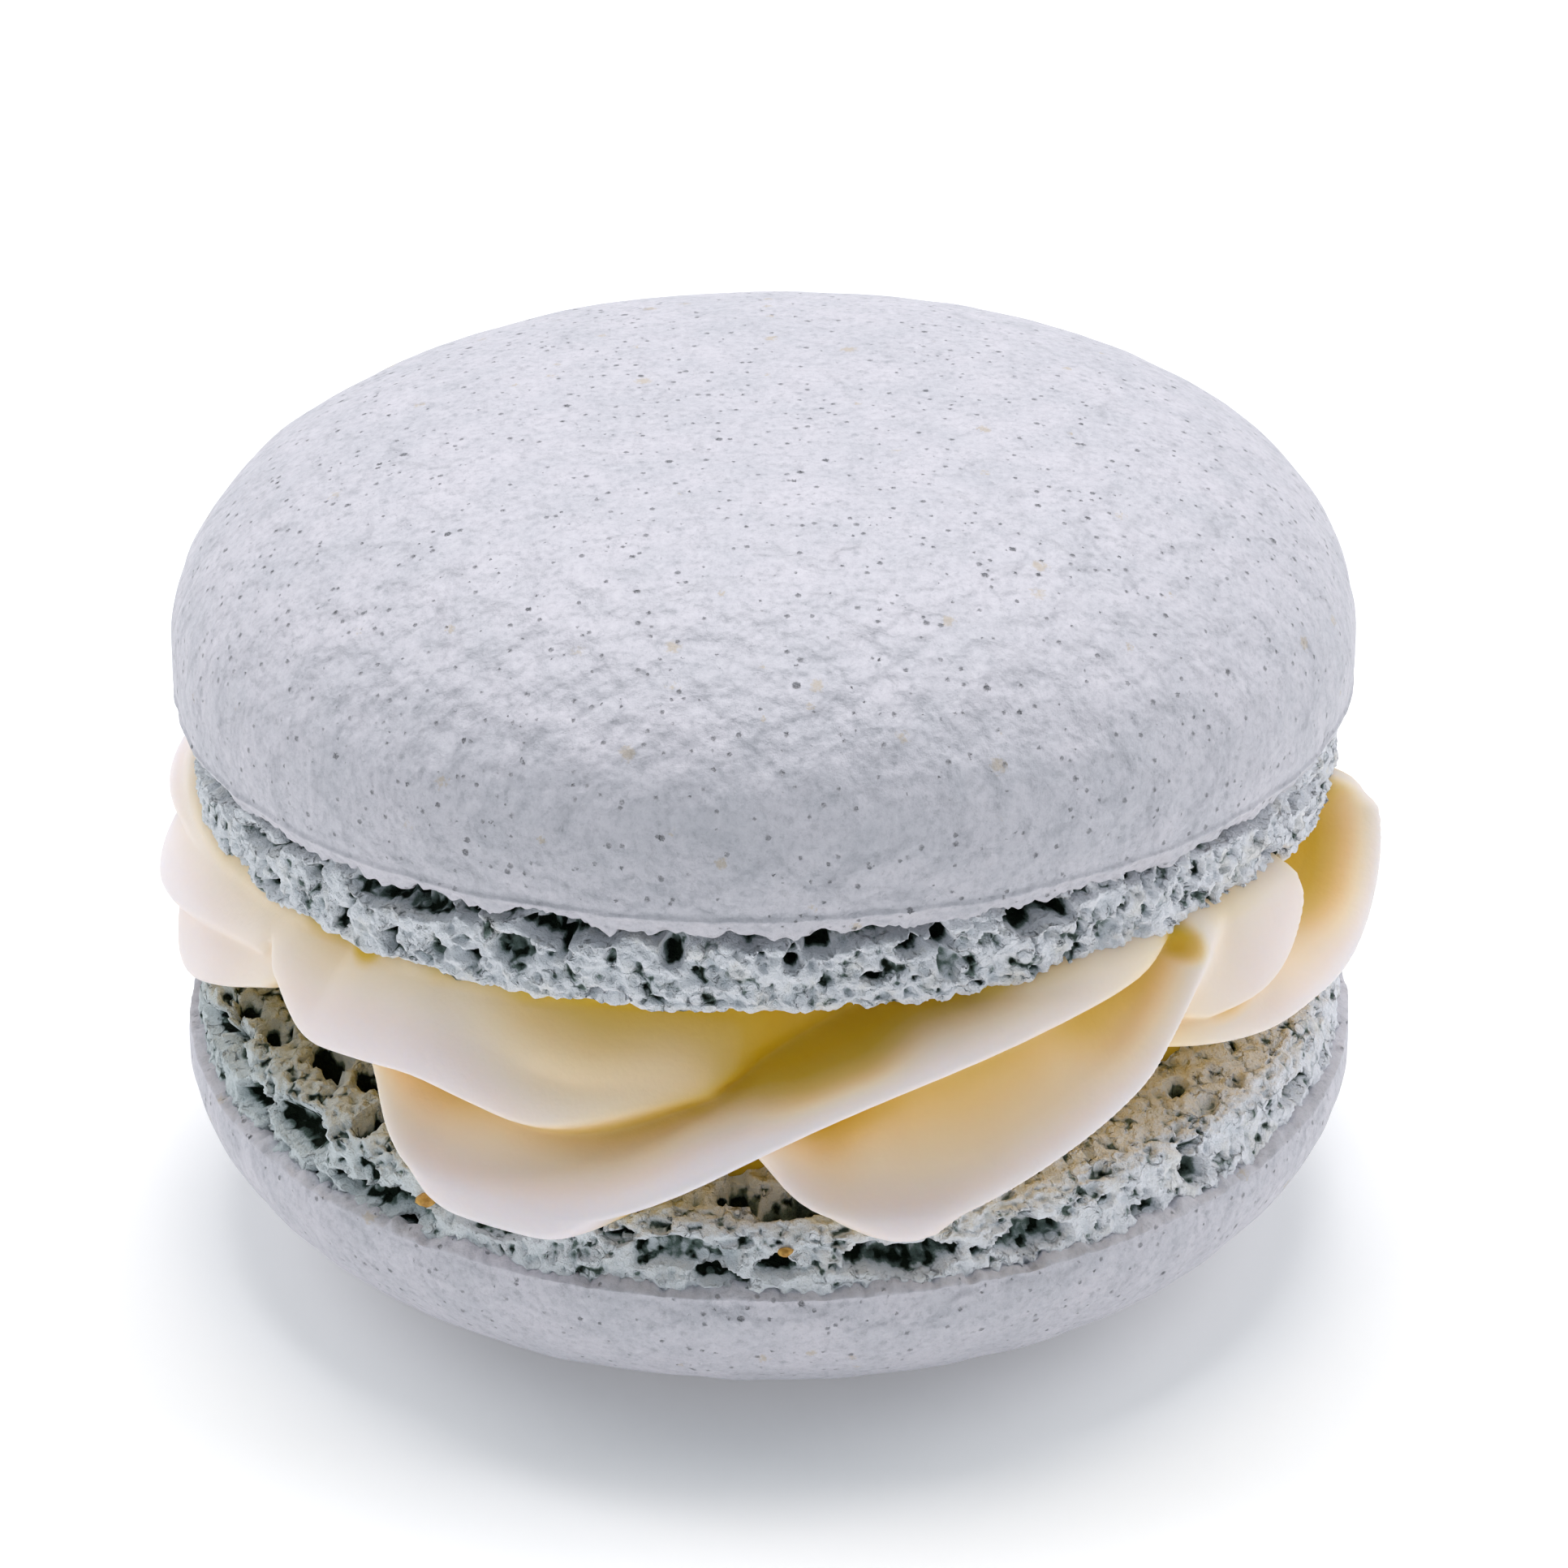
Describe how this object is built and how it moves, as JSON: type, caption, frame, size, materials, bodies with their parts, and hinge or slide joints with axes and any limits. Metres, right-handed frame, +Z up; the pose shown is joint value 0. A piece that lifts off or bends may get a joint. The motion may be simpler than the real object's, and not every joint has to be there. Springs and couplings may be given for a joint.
{
  "type": "french macaron",
  "caption": "Round meringue sandwich biscuit: two smooth domed halves with ragged porous feet, held together by a piped cream filling that swells out between them.",
  "frame": {"origin": "middle of the small flat spot that the lower half rests on", "axes": "+Z up through both halves; -Y is the front, where the filling's long sweeping ridge rises to the right"},
  "size_m": [0.044, 0.044, 0.031],
  "materials": {
    "meringue": "matte, finely speckled meringue skin, porous where the foot shows",
    "cream": "smooth satin buttercream"
  },
  "bodies": {
    "root": {"top_shell": "meringue", "cream_filling": "cream", "bottom_shell": "meringue"}
  },
  "joints": []
}
